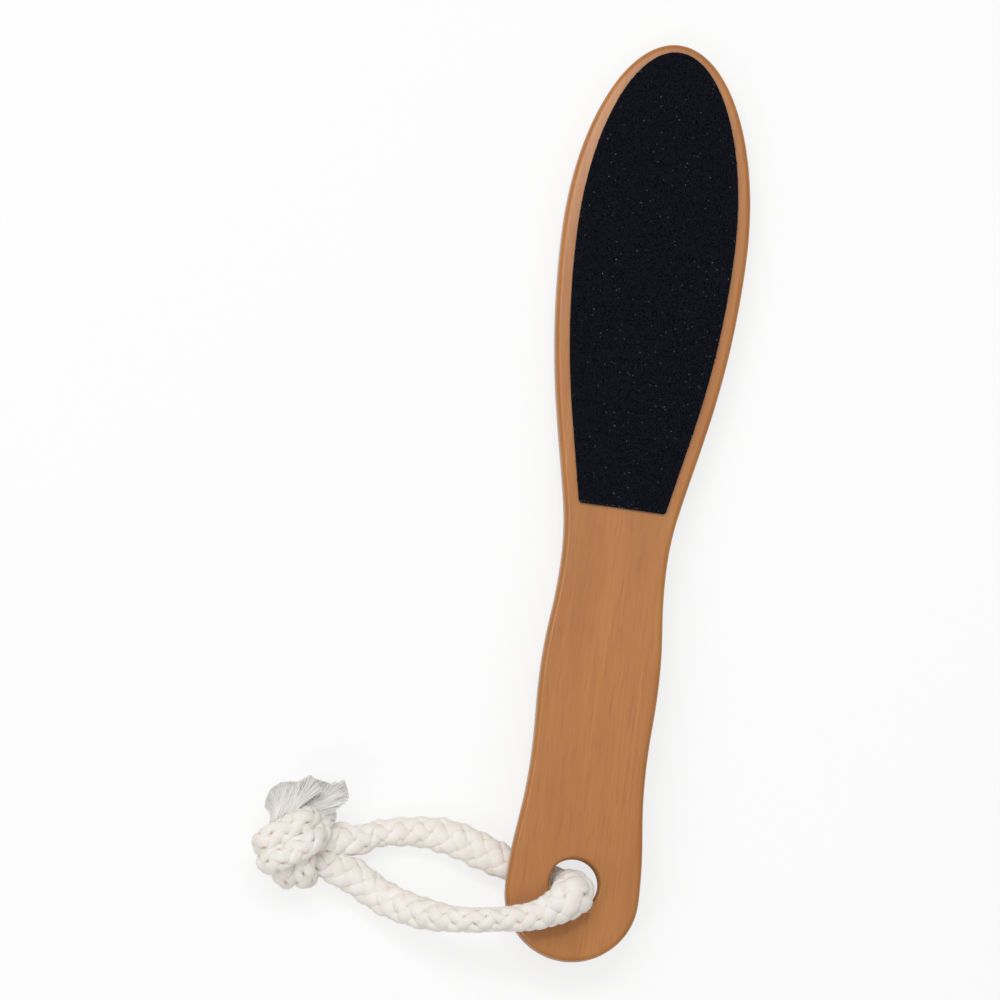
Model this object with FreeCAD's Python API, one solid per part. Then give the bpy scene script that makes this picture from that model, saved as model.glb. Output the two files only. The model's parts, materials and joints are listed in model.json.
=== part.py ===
"""Foot file: a lacquered wooden paddle with an abrasive sheet on each face and a cord loop to hang it by.

Millimetres. X is to the right, Y runs from the handle to the head, Z is up, and Z = 0 is the surface
that the file lies on, coarse face up, with one leg of the cord loop under the handle. The paddle is
drawn flat, with Y = 0 at the handle's end and Z = 0 at the wood's rear face, and then laid on its cord.
"""
import FreeCAD, Part
import math
import os

Vector = FreeCAD.Vector
ORIGIN = Vector(0, 0, 0)
X_AXIS = Vector(1, 0, 0)
Z_AXIS = Vector(0, 0, 1)

# Paddle: half widths, and places along it as shares of its length from the handle's end
paddle_length = 265.0
paddle_thickness = 6.0
edge_round = 1.5
end_radius = 18.9
waist_half_width = 16.35
waist_share = 0.219
grip_half_width = 16.95
grip_share = 0.302
neck_half_width = 15.0
neck_share = 0.43
head_half_width = 26.7
head_share = 0.781

# Shoulder: the share of the largest radii that its two arcs take, and the neck's share of the two
shoulder_bend_share = 0.945
neck_bend_share = 0.24

# Hole for the cord, and how much wider it is than the cord
hole_slack = 5.8
hole_from_end = 22.0
hole_round = 0.9

# Abrasive sheets, inset from the edge of the head
sheet_side_margin = 3.9
sheet_tip_margin = 2.6
sheet_above_neck = 15.5
sheet_corner_round = 1.0
adhesive_thickness = 0.15
backing_thickness = 0.3
coarse_grit_thickness = 0.45
fine_grit_thickness = 0.3

# Cord, and its clearance to the wood
cord_diameter = 8.4
cord_clearance = 0.5

# Knot: both ends of the cord, drawn thinner, in one flat overhand knot that folds on a pentagon
knot_cord_diameter = 7.2
knot_strand_spacing = 6.6
knot_layer_pitch = 4.6
knot_fold_reach = 8.2
knot_neck_length = 6.0
knot_tail_length = 1.5
knot_turn = -10.0
knot_from_handle = 60.7
knot_beside_hole = 0.4

# Frayed ends: how far each fan reaches, its sections and how far it swings aside
fray_length = 10.5
fray_root_width = 6.8
fray_root_thickness = 6.0
fray_tip_width = 12.0
fray_tip_thickness = 3.2
fray_left_splay = 8.0
fray_right_splay = -55.0

# Values that follow from the sizes above
waist_from_end = waist_share * paddle_length
grip_from_end = grip_share * paddle_length
neck_from_end = neck_share * paddle_length
head_from_end = head_share * paddle_length
shoulder_rise = head_half_width - neck_half_width
shoulder_run = head_from_end - neck_from_end
shoulder_radii = shoulder_bend_share * (shoulder_rise ** 2 + shoulder_run ** 2) / (2 * shoulder_rise)
neck_radius = neck_bend_share * shoulder_radii
head_side_radius = shoulder_radii - neck_radius
hole_diameter = cord_diameter + hole_slack
rear_stack = adhesive_thickness + backing_thickness + fine_grit_thickness
sheet_from_end = neck_from_end + sheet_above_neck
sheet_tip = paddle_length - sheet_tip_margin
cord_radius = cord_diameter / 2
knot_radius = knot_cord_diameter / 2
tilt = math.asin((cord_diameter + cord_clearance - rear_stack) / (sheet_tip - hole_from_end))
half_span = (paddle_length * math.cos(tilt) + paddle_thickness * math.sin(tilt)) / 2
lift = sheet_tip * math.sin(tilt) + rear_stack * math.cos(tilt)


def line(start, end):
    return Part.LineSegment(start, end).toShape()


def arc(start, middle, end):
    return Part.Arc(start, middle, end).toShape()


def s_curve(start, end):
    """Two equal arcs from start to end, both running along Y at their outer ends."""
    rise = end.x - start.x
    run = end.y - start.y
    radius = (rise ** 2 + run ** 2) / (4 * rise)
    half_turn = math.asin(run / 2 / abs(radius)) / 2
    bulge = radius * (1 - math.cos(half_turn))
    advance = abs(radius) * math.sin(half_turn)
    middle = (start + end) * 0.5
    first = arc(start, start + Vector(bulge, advance, 0), middle)
    second = arc(middle, end - Vector(bulge, advance, 0), end)
    return [first, second]


def shoulder(inset):
    """The hollow arc at the neck, the straight shoulder and the full arc of the head, moved in by inset."""
    neck_centre = Vector(neck_half_width + neck_radius, neck_from_end, 0)
    head_centre = Vector(head_half_width - head_side_radius, head_from_end, 0)
    between = head_centre - neck_centre
    neck_arc_radius = neck_radius + inset
    head_arc_radius = head_side_radius - inset
    slant = math.atan2(between.y, -between.x) - math.acos((neck_radius + head_side_radius) / between.Length)
    across = Vector(-math.cos(slant), math.sin(slant), 0)
    half_across = Vector(-math.cos(slant / 2), math.sin(slant / 2), 0)
    neck_start = neck_centre - X_AXIS * neck_arc_radius
    neck_end = neck_centre + across * neck_arc_radius
    head_start = head_centre - across * head_arc_radius
    head_end = head_centre + X_AXIS * head_arc_radius
    hollow = arc(neck_start, neck_centre + half_across * neck_arc_radius, neck_end)
    full = arc(head_start, head_centre - half_across * head_arc_radius, head_end)
    return [hollow, line(neck_end, head_start), full]


def tip(side_inset, end_inset):
    """A quarter ellipse from the widest point of the head to its end."""
    centre = Vector(0, head_from_end, 0)
    end = Vector(0, paddle_length - end_inset, 0)
    side = Vector(head_half_width - side_inset, head_from_end, 0)
    return Part.ArcOfEllipse(Part.Ellipse(end, side, centre), 0, math.pi / 2).toShape()


def mirrored_face(half):
    """The face inside a half outline and its mirror image across the paddle's centre line."""
    other = [edge.mirror(ORIGIN, X_AXIS) for edge in half]
    return Part.Face(Part.Wire(Part.sortEdges(half + other)[0]))


def make_paddle():
    slant = math.sqrt(0.5)
    end_centre = Vector(0, end_radius, 0)
    end_side = Vector(end_radius, end_radius, 0)
    waist = Vector(waist_half_width, waist_from_end, 0)
    grip = Vector(grip_half_width, grip_from_end, 0)
    neck = Vector(neck_half_width, neck_from_end, 0)
    half = [arc(ORIGIN, end_centre + Vector(slant, -slant, 0) * end_radius, end_side)]
    half += s_curve(end_side, waist)
    half += s_curve(waist, grip)
    half += s_curve(grip, neck)
    half += shoulder(0)
    half.append(tip(0, 0))
    board = mirrored_face(half).extrude(Z_AXIS * paddle_thickness)
    face_edges = [edge for edge in board.Edges if edge.BoundBox.ZLength < edge_round / 10]
    board = board.makeFillet(edge_round, face_edges)
    hole_radius = hole_diameter / 2
    board = board.cut(Part.makeCylinder(hole_radius, paddle_thickness, Vector(0, hole_from_end, 0)))
    wall = [face for face in board.Faces if isinstance(face.Surface, Part.Cylinder)
            and abs(face.Surface.Radius - hole_radius) < 1e-6
            and abs(face.Surface.Center.y - hole_from_end) < 1e-6][0]
    rims = [edge for edge in wall.Edges if edge.BoundBox.ZLength < hole_round / 10]
    return board.makeFillet(hole_round, rims)


def sheet_layer(bottom, thickness):
    """One layer of an abrasive sheet: the head's outline, inset, and cut straight across above the neck."""
    start = Vector(neck_half_width - sheet_side_margin, neck_from_end, 0)
    half = [line(Vector(0, neck_from_end, 0), start)]
    half += shoulder(sheet_side_margin)
    half.append(tip(sheet_side_margin, sheet_tip_margin))
    layer = mirrored_face(half).extrude(Z_AXIS * thickness)
    width = 2 * head_half_width
    layer = layer.cut(Part.makeBox(width, sheet_from_end, thickness, Vector(-width / 2, 0, 0)))
    corners = [edge for edge in layer.Edges if edge.BoundBox.ZLength > thickness / 2
               and abs(edge.CenterOfMass.y - sheet_from_end) < 1e-6]
    layer = layer.makeFillet(sheet_corner_round, corners)
    layer.translate(Z_AXIS * bottom)
    return layer


def make_sheets():
    """The layers of both sheets, each face to face with the one before it."""
    sheets = {}
    level = paddle_thickness
    for name, thickness in (("front_adhesive", adhesive_thickness), ("front_backing", backing_thickness),
                            ("front_grit", coarse_grit_thickness)):
        sheets[name] = sheet_layer(level, thickness)
        level += thickness
    level = 0
    for name, thickness in (("rear_adhesive", adhesive_thickness), ("rear_backing", backing_thickness),
                            ("rear_grit", fine_grit_thickness)):
        level -= thickness
        sheets[name] = sheet_layer(level, thickness)
    return sheets


def lay_down(shape):
    """Tilt a flat-drawn piece so that the head's rear tip is on the floor and the handle on its cord."""
    shape.rotate(ORIGIN, X_AXIS, -math.degrees(tilt))
    shape.translate(Vector(0, -half_span, lift))
    return shape


def on_paddle(from_end, height):
    """Where a point of the paddle's centre line, height above the rear face, comes to lie."""
    along = from_end * math.cos(tilt) + height * math.sin(tilt) - half_span
    up = height * math.cos(tilt) - from_end * math.sin(tilt) + lift
    return Vector(0, along, up)


def over_front(along):
    """The height of the cord's centre where it crosses the front face, along from the hole."""
    return on_paddle(hole_from_end + along, paddle_thickness).z + cord_clearance + cord_radius


def rounded_edges(points):
    """Straight runs joined by tangent arcs, each arc as large as its two runs allow."""
    edges = []
    cursor = points[0]
    for before, corner, after in zip(points, points[1:], points[2:]):
        run_in = corner - before
        run_out = after - corner
        half_turn = run_in.getAngle(run_out) / 2
        trim = 0.45 * min(run_in.Length, run_out.Length)
        radius = trim / math.tan(half_turn)
        start = corner - run_in * (trim / run_in.Length)
        end = corner + run_out * (trim / run_out.Length)
        inward = ((start + end) * 0.5 - corner).normalize()
        middle = corner + inward * (radius / math.cos(half_turn) - radius)
        edges += [line(cursor, start), arc(start, middle, end)]
        cursor = end
    edges.append(line(cursor, points[-1]))
    return edges


def tube(edges, radius):
    """A round tube along the edges. Its volume is compared with its section times its length."""
    path = Part.Wire(edges)
    start = edges[0].valueAt(edges[0].FirstParameter)
    heading = edges[0].tangentAt(edges[0].FirstParameter)
    solid = path.makePipeShell([Part.Wire(Part.makeCircle(radius, start, heading))], True, False)
    arcs = [round(edge.Curve.Radius, 1) for edge in edges if isinstance(edge.Curve, Part.Circle)]
    share = solid.Volume / (math.pi * radius ** 2 * path.Length)
    print("tube of", round(path.Length, 1), "mm, arcs", arcs, "volume share", round(share, 4))
    return solid


def knot_level(layer):
    """The height of a strand's centre in one of the knot's four layers."""
    return knot_radius + layer * knot_layer_pitch


def loop_points():
    """The loop's route from the knot, under the handle, up through the hole and back over the front.

    The places beside the handle are taken from its edge, and those along it from the hole's centre.
    """
    floor = cord_radius
    edge = -end_radius
    route = [
        (edge - 47.1, 5.4, floor + 1.8),
        (edge - 38.1, 8.6, floor + 0.4),
        (edge - 27.6, 11.0, floor),
        (edge - 16.6, 10.6, floor),
        (edge - 6.6, 7.2, floor),
        (edge + 3.9, 3.0, floor),
        (0.9, 0.4, floor),
        (0.9, -0.8, over_front(0)),
        (edge + 9.4, -10.6, over_front(-10.6)),
        (edge - 1.1, -13.2, over_front(-13.2)),
        (edge - 12.1, -14.6, over_front(-14.6) - 2.6),
        (edge - 23.1, -13.6, over_front(-13.6) - 10.2),
        (edge - 34.6, -10.4, floor + 0.4),
        (edge - 46.6, -6.2, floor + 1.6),
    ]
    hole = on_paddle(hole_from_end, paddle_thickness / 2)
    return [Vector(x, y + hole.y, z) for x, y, z in route]


def knot_points(side, leg_end, mouth):
    """One strand's route: four passes on the chords of a pentagon, with a fold between each two.

    The passes turn by 144 degrees at each fold, so the tails leave 108 degrees from the legs. The layers
    go over and under by turns, which is what locks an overhand knot. A strand changes side at each fold.
    """
    layers = (1, 3, 0, 2)
    fold_angle = math.radians(144)
    lean = math.radians(18)
    hole = on_paddle(hole_from_end, paddle_thickness / 2)
    centre = Vector(-end_radius - knot_from_handle, hole.y + knot_beside_hole, 0)
    points = [mouth, mouth + (mouth - leg_end).normalize() * knot_neck_length]
    for index, layer in enumerate(layers):
        heading = math.pi + math.radians(knot_turn) - fold_angle * index
        ahead = Vector(math.cos(heading), math.sin(heading), 0)
        inward = Vector(math.sin(heading), -math.cos(heading), 0)
        offset = knot_fold_reach * math.sin(lean) + side * (-1) ** index * knot_strand_spacing / 2
        reach = (knot_fold_reach - offset * math.sin(lean)) / math.cos(lean)
        height = knot_level(layer)
        if index > 0:
            points.append(Vector(points[-1].x, points[-1].y, height))
        if index == len(layers) - 1:
            reach += knot_tail_length
        points.append(centre - inward * offset + ahead * reach + Z_AXIS * height)
    return points


def neck_cone(run):
    """The cord narrows from its full diameter on the straight run that goes into the knot."""
    start = run.valueAt(run.FirstParameter)
    return Part.makeCone(cord_radius, knot_radius, run.Length, start, run.tangentAt(run.FirstParameter))


def strand_bodies(points):
    """A strand's neck and three tubes, cut on the straights of its two inner passes, so that none meets itself."""
    edges = rounded_edges(points)
    first_cut = 7
    second_cut = 11
    pieces = (edges[1:first_cut], edges[first_cut:second_cut], edges[second_cut:])
    return [neck_cone(edges[0])] + [tube(piece, knot_radius) for piece in pieces]


def oblong(centre, along, width, thickness):
    """A flat section with round sides, square to along."""
    across = Z_AXIS.cross(along).normalize()
    up = along.cross(across).normalize()
    half = thickness / 2
    bend = half * math.sqrt(0.5)
    ends = []
    for side in (across, -across):
        middle = centre + side * ((width - thickness) / 2)
        ends.append([middle - up * half, middle + side * bend - up * bend, middle + side * half,
                     middle + side * bend + up * bend, middle + up * half])
    right, left = ends
    return Part.Wire([
        arc(right[0], right[1], right[2]), arc(right[2], right[3], right[4]), line(right[4], left[4]),
        arc(left[4], left[3], left[2]), arc(left[2], left[1], left[0]), line(left[0], right[0]),
    ])


def frayed_end(points, splay):
    """A fan of loose yarn that widens from the strand's end and swings aside by splay degrees."""
    along = (points[-1] - points[-2]).normalize()
    centre = points[-1]
    sections = []
    steps = 3
    for step in range(steps + 1):
        share = step / steps
        width = fray_root_width + (fray_tip_width - fray_root_width) * share
        thickness = fray_root_thickness + (fray_tip_thickness - fray_root_thickness) * share
        sections.append(oblong(centre, along, width, thickness))
        along = FreeCAD.Rotation(Z_AXIS, splay / steps).multVec(along)
        centre = centre + along * (fray_length / steps)
    return Part.makeLoft(sections, True, False)


def make_cord():
    """The loop, the knot of its two strands and their frayed ends."""
    loop = loop_points()
    back_strand = knot_points(-1, loop[1], loop[0])
    front_strand = knot_points(1, loop[-2], loop[-1])
    bodies = strand_bodies(back_strand) + strand_bodies(front_strand)
    knot = bodies[0].fuse(bodies[1:]).removeSplitter()
    left_end = frayed_end(back_strand, fray_left_splay).cut(knot)
    right_end = frayed_end(front_strand, fray_right_splay).cut([knot, left_end])
    return {
        "cord_loop": tube(rounded_edges(loop), cord_radius),
        "cord_knot": knot,
        "frayed_end_left": left_end,
        "frayed_end_right": right_end,
    }


def main():
    flat = {"paddle": make_paddle()}
    flat.update(make_sheets())
    nodes = {name: lay_down(shape) for name, shape in flat.items()}
    nodes.update(make_cord())
    os.makedirs("parts", exist_ok=True)
    for name, shape in nodes.items():
        box = shape.optimalBoundingBox(False)
        corners = [box.XMin, box.XMax, box.YMin, box.YMax, box.ZMin, box.ZMax]
        print(name, shape.isValid(), len(shape.Solids), "solid", round(shape.Volume, 1), "mm3",
              [round(value, 2) for value in corners])
        shape.exportStep("parts/" + name + ".step")
    hole = on_paddle(hole_from_end, paddle_thickness / 2)
    print("hole centre", [round(value, 3) for value in hole], "tilt", round(math.degrees(tilt), 4))


main()
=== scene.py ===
"""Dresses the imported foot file: lacquered wood, two abrasive sheets, a braided cotton cord with its
knot and frayed ends, and a plain pale stage.

Lengths are in metres, written in millimetres times MM where they are set.
"""
import json
import math
from collections import namedtuple

import bmesh
import bpy
import numpy as np
from mathutils import Matrix, Vector


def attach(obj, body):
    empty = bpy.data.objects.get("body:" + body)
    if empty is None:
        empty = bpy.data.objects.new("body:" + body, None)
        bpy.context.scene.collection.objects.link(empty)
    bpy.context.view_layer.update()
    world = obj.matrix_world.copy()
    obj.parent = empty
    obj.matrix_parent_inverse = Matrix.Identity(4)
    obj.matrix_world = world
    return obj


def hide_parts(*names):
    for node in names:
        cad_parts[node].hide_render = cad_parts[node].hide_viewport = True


bl_info = {
    "name": "Foot file",
    "version": (1, 0, 0),
    "blender": (4, 5, 0),
    "location": "3D View > Sidebar > Foot file",
    "description": "Dresses the foot file with its wood, grit, cord and stage",
    "category": "Object",
}

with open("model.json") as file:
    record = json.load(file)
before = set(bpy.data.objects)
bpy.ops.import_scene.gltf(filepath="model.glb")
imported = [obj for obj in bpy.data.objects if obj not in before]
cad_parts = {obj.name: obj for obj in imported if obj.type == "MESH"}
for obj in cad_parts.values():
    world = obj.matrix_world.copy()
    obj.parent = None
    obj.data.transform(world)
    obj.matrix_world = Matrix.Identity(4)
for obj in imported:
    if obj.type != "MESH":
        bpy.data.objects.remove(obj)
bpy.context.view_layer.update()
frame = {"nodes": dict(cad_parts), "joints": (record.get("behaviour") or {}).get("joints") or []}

MM = 0.001
SEED = 7
NODES = frame["nodes"]
# The loop's hinge goes through the hole, square to the front face
HOLE = Vector(frame["joints"][0]["pos_m"])
FRONT = Vector(frame["joints"][0]["axis"])

# The loop's route from the knot, under the handle, up through the hole and back over the front, in
# millimetres: place from the hole's centre, height above the floor, and the cord's width and height there
LOOP_ROUTE = (
    (-66.0, 4.3, 6.0, 9.8, 6.6),
    (-61.5, 3.8, 5.0, 9.0, 6.8),
    (-57.0, 7.0, 4.2, 7.8, 6.8),
    (-46.5, 9.2, 3.8, 8.8, 6.8),
    (-35.5, 9.2, 3.8, 10.6, 6.8),
    (-25.5, 6.0, 4.0, 10.8, 7.2),
    (-15.0, 2.2, 4.4, 9.2, 8.0),
    (-1.9, 0.5, 4.4, 8.2, 8.2),
    (1.1, -2.8, 21.8, 12.7, 9.4),
    (-8.6, -10.7, 20.4, 8.8, 7.8),
    (-20.0, -13.2, 20.0, 7.2, 7.8),
    (-31.0, -14.8, 17.4, 7.6, 7.8),
    (-42.0, -14.0, 9.6, 9.8, 7.2),
    (-53.5, -10.4, 4.4, 10.2, 6.8),
    (-60.5, -5.9, 4.9, 10.4, 6.8),
    (-65.5, -4.9, 5.8, 10.2, 6.6),
)
# Fans of loose yarn at the cord's ends, in millimetres from the hole and above the floor, and degrees
# from +X. Outline: how far the yarns reach from the fan's right side (0) to its left side (1), as shares
# of its reach
Fan = namedtuple("Fan", "name tail tail_half root heading spread reach rise outline")
FANS = (
    Fan("left", tail=(-85.3, 3.7, 11.8), tail_half=(-2.5, -1.4, 2.5), root=(-84.4, 5.6, 13.5),
        heading=89, spread=33, reach=15.0, rise=1.5,
        outline=((0.0, 0.96), (0.1, 1.0), (0.22, 0.8), (0.48, 0.74), (0.69, 0.62), (0.83, 0.48),
                 (1.0, 0.3))),
    Fan("right", tail=(-81.2, 7.8, 11.7), tail_half=(-2.6, -1.2, 2.5), root=(-79.2, 7.6, 10.5),
        heading=39, spread=32, reach=16.4, rise=0.6,
        outline=((0.0, 0.46), (0.12, 0.62), (0.25, 0.62), (0.38, 0.7), (0.46, 0.98), (0.52, 1.0),
                 (0.62, 0.78), (1.0, 0.62))),
)


def srgb(red, green, blue):
    """A colour given as it looks on screen, 0 to 255, as the linear values that Blender works with."""
    shares = [channel / 255 for channel in (red, green, blue)]
    return tuple(s / 12.92 if s <= 0.04045 else ((s + 0.055) / 1.055) ** 2.4 for s in shares)


# Node trees as Python expressions

class Wire:
    """An output socket that takes part in Python expressions: each operation adds a Math node."""

    def __init__(self, graph, socket):
        self.graph = graph
        self.socket = socket

    def other(self, name):
        """Another output of the same node."""
        return Wire(self.graph, self.socket.node.outputs[name])

    def math(self, operation, *values):
        return self.graph.node("ShaderNodeMath", {"operation": operation}, dict(enumerate((self, *values))))

    def __add__(self, value):
        return self.math("ADD", value)

    def __sub__(self, value):
        return self.math("SUBTRACT", value)

    def __rsub__(self, value):
        return self.graph.node("ShaderNodeMath", {"operation": "SUBTRACT"}, {0: value, 1: self})

    def __mul__(self, value):
        return self.math("MULTIPLY", value)

    def __truediv__(self, value):
        return self.math("DIVIDE", value)

    def __rtruediv__(self, value):
        return self.graph.node("ShaderNodeMath", {"operation": "DIVIDE"}, {0: value, 1: self})

    __radd__ = __add__
    __rmul__ = __mul__


class Graph:
    """A node tree under construction."""

    def __init__(self, tree):
        self.tree = tree

    def node(self, kind, settings=None, sockets=None, output=0):
        """Adds a node: its settings, then the values or links of its sockets. Returns one of its outputs."""
        node = self.tree.nodes.new(kind)
        for name, value in (settings or {}).items():
            if name == "stops":
                set_stops(node.color_ramp, value)
            else:
                setattr(node, name, value)
        for key, value in (sockets or {}).items():
            if isinstance(value, Wire):
                self.tree.links.new(value.socket, node.inputs[key])
            else:
                node.inputs[key].default_value = value
        return Wire(self, node.outputs[output]) if node.outputs else None

    def mix(self, share, first, second):
        """A colour between first and second. Sockets go by number, because their names repeat."""
        sockets = {0: share, 6: colour(first), 7: colour(second)}
        return self.node("ShaderNodeMix", {"data_type": "RGBA"}, sockets, 2)

    def noise(self, vector, scale, detail=2.0, roughness=0.5):
        """Noise from 0 to 1."""
        return self.node("ShaderNodeTexNoise", None,
                         {"Vector": vector, "Scale": scale, "Detail": detail, "Roughness": roughness})

    def ramp(self, value, *stops):
        """A value led through grey stops, each a place and a level."""
        return self.node("ShaderNodeValToRGB", {"stops": stops}, {"Fac": value})

    def stretched(self, *scale):
        """Object coordinates, scaled per axis."""
        place = self.node("ShaderNodeTexCoord", output="Object")
        return self.node("ShaderNodeMapping", None, {"Vector": place, "Scale": scale})

    def random(self, low, high, seed):
        """A random number for each element. Sockets go by number, because their names repeat."""
        sockets = {2: low, 3: high, "Seed": seed}
        return self.node("FunctionNodeRandomValue", {"data_type": "FLOAT"}, sockets, 1)

    def parts(self, vector):
        """A vector's X. Its other("Y") and other("Z") are the rest."""
        return self.node("ShaderNodeSeparateXYZ", None, {0: vector})


def colour(value):
    """A colour as a socket takes it: a wire as it is, three numbers with full alpha."""
    return value if isinstance(value, Wire) else (*value[:3], 1.0)


def set_stops(ramp, stops):
    while len(ramp.elements) < len(stops):
        ramp.elements.new(0.5)
    for element, (place, level) in zip(ramp.elements, stops):
        element.position = place
        element.color = (level, level, level, 1.0)


def new_material(name, make):
    """A material whose nodes make(graph) lays: it returns the Principled BSDF's sockets."""
    material = bpy.data.materials.new(name)
    material.use_nodes = True
    material.node_tree.nodes.clear()
    graph = Graph(material.node_tree)
    shader = graph.node("ShaderNodeBsdfPrincipled", None, make(graph))
    graph.node("ShaderNodeOutputMaterial", None, {"Surface": shader})
    return material


def paint(obj, material):
    obj.data.materials.clear()
    obj.data.materials.append(material)


def bump(graph, height, strength, distance):
    return graph.node("ShaderNodeBump", None, {"Height": height, "Strength": strength, "Distance": distance})


# Materials

def wood_material(sizes):
    """Fine-grained wood under satin lacquer, its figure along the paddle."""

    def make(graph):
        bands = graph.noise(graph.stretched(110, 11, 110), 1.0, 3.0)
        streaks = graph.noise(graph.stretched(900, 18, 900), 1.0, 4.0, 0.6)
        fibres = graph.noise(graph.stretched(3600, 160, 3600), 1.0, 2.0, 0.6)
        flecks = graph.ramp(graph.noise(graph.stretched(1500, 90, 1500), 1.0, 1.0), (0.55, 0.0), (0.75, 1.0))
        tone = graph.mix(graph.ramp(bands, (0.3, 0.1), (0.7, 0.65)), sizes.light, sizes.dark)
        tone = graph.mix(graph.ramp(streaks, (0.35, 0.0), (0.7, 0.6)), tone, sizes.red)
        tone = graph.mix(flecks * 0.5, tone, sizes.dark)
        tone = graph.mix(graph.ramp(fibres, (0.5, 0.0), (0.9, 0.2)), tone, sizes.light)
        return {
            "Base Color": tone,
            "Roughness": 0.34 + 0.12 * fibres,
            "Normal": bump(graph, streaks * 0.7 + fibres * 0.3, 0.12, 0.15 * MM),
            "Specular IOR Level": 0.35,
            "Coat Weight": 0.5,
            "Coat Roughness": 0.14,
        }

    return new_material("lacquered_wood", make)


def grit_material(name, sizes, cut, bed):
    """Dark abrasive: most grains are dull, a few have a painted glint, a pale colour for bright facets over a
    real gloss coat, and some are worn off along the cut.

    The bed between them is dull all over.
    """

    def make(graph):
        if bed:
            grain = graph.noise(graph.stretched(2200, 2200, 2200), 1.0, 2.0)
            return {
                "Base Color": graph.mix(grain, sizes.bed, sizes.grain),
                "Roughness": 0.85,
                "Normal": bump(graph, grain, 0.8, 0.15 * MM),
                "Specular IOR Level": 0.0,
            }
        chance = graph.node("ShaderNodeAttribute", {"attribute_name": "chance"}, output="Fac")
        # pale picks the few grains whose colour is a painted glint; their coat gloss and lower roughness are
        # real
        pale = graph.ramp(chance, (0.96, 0.0), (1.0, 1.0))
        patches = graph.noise(graph.stretched(950, 950, 950), 1.0, 1.0)
        lit = graph.ramp(0.7 * patches + 0.3 * chance, (0.46, 0.0), (0.62, 1.0))
        tone = graph.mix(lit, sizes.bed, sizes.grain)
        # Painted glint: these grains get a pale colour in place of light off their facets
        tone = graph.mix(pale * 0.6, tone, sizes.painted_glint)
        from_cut = graph.parts(graph.stretched(1, 1, 1)).other("Y") - cut
        near_cut = graph.ramp(from_cut / sizes.worn, (0.0, 0.9), (1.0, 0.0))
        worn = near_cut * graph.ramp(chance, (0.2, 0.0), (0.6, 1.0))
        return {
            "Base Color": graph.mix(worn, tone, sizes.backing),
            "Roughness": 0.6 - 0.35 * pale,
            "Specular IOR Level": 0.0,
            "Coat Weight": 0.3 * pale,
            "Coat Roughness": 0.15,
        }

    return new_material(name, make)


def plain_material(name, tone, roughness):
    """A thin layer seen only at its edge, with a faint mottle."""

    def make(graph):
        mottle = graph.noise(graph.stretched(400, 400, 400), 1.0, 2.0)
        return {"Base Color": graph.mix(mottle * 0.3, tone, (0.05, 0.05, 0.05)), "Roughness": roughness}

    return new_material(name, make)


def cotton_material(sizes):
    """Soft-spun cotton: yarn lines along each strand, and a painted warm shade where the braid is deep."""

    def make(graph):
        depth = graph.node("ShaderNodeAttribute", {"attribute_name": "depth"}, output="Fac")
        along = graph.node("ShaderNodeUVMap", {"uv_map": "strand"})
        along = graph.node("ShaderNodeMapping", None, {"Vector": along, "Scale": (16, 0.5, 1)})
        lines = graph.noise(along, 1.0, 2.0)
        mottle = graph.noise(graph.stretched(260, 260, 260), 1.0, 3.0)
        tone = graph.mix(graph.ramp(mottle, (0.35, 0.0), (0.7, 0.6)), sizes.pale, sizes.cream)
        tone = graph.mix(graph.ramp(lines, (0.3, 0.22), (0.6, 0.0)), tone, sizes.cream)
        # Painted shade: the deep gaps of the braid turn warm and darker, in place of the light that fades in
        # them
        tone = graph.mix(graph.ramp(depth, (0.25, 0.0), (0.95, 1.0)), tone, sizes.deep)
        return {
            "Base Color": tone,
            "Roughness": 0.9,
            "Normal": bump(graph, lines, 0.35, 0.25 * MM),
            "Specular IOR Level": 0.15,
            "Sheen Weight": 0.15,
            "Sheen Roughness": 0.6,
        }

    return new_material("cotton_cord", make)


def yarn_material(sizes):
    """Loose yarn at the cord's ends, a little glossier than the braid."""

    def make(graph):
        shade = graph.node("ShaderNodeAttribute", {"attribute_name": "chance"}, output="Fac")
        return {
            "Base Color": graph.mix(shade, sizes.pale, sizes.cream),
            "Roughness": 0.6,
            "Specular IOR Level": 0.25,
            "Sheen Weight": 0.15,
        }

    return new_material("cotton_yarn", make)


def background_material(name, light, shade):
    """White where it is seen, with a share of the light that falls on it.

    It is plain pale for the light that it sends back.
    """
    material = bpy.data.materials.new(name)
    material.use_nodes = True
    material.node_tree.nodes.clear()
    graph = Graph(material.node_tree)
    seen = seen_directly(graph)
    matt = graph.node("ShaderNodeBsdfDiffuse", None, {"Color": (light, light, light, 1.0)})
    white = graph.node("ShaderNodeEmission", None, {"Strength": 1.0})
    shown = graph.node("ShaderNodeMixShader", None, {0: shade, 1: white, 2: matt})
    surface = graph.node("ShaderNodeMixShader", None, {0: seen, 1: matt, 2: shown})
    graph.node("ShaderNodeOutputMaterial", None, {"Surface": surface})
    return material


def seen_directly(graph):
    """1 for what the camera sees, also through glass."""
    path = graph.node("ShaderNodeLightPath", output="Is Camera Ray")
    return path.math("MAXIMUM", path.other("Is Transmission Ray"))


# Geometry Nodes

def new_tree(name, **inputs):
    """A Geometry Nodes tree with named inputs, as its graph and a wire for each input."""
    tree = bpy.data.node_groups.new(name, "GeometryNodeTree")
    tree.interface.new_socket("Geometry", in_out="INPUT", socket_type="NodeSocketGeometry")
    for title, kind in inputs.items():
        tree.interface.new_socket(title, in_out="INPUT", socket_type="NodeSocket" + kind)
    tree.interface.new_socket("Geometry", in_out="OUTPUT", socket_type="NodeSocketGeometry")
    graph = Graph(tree)
    first = graph.node("NodeGroupInput")
    return graph, {title: first.other(title) for title in ("Geometry", *inputs)}


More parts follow.
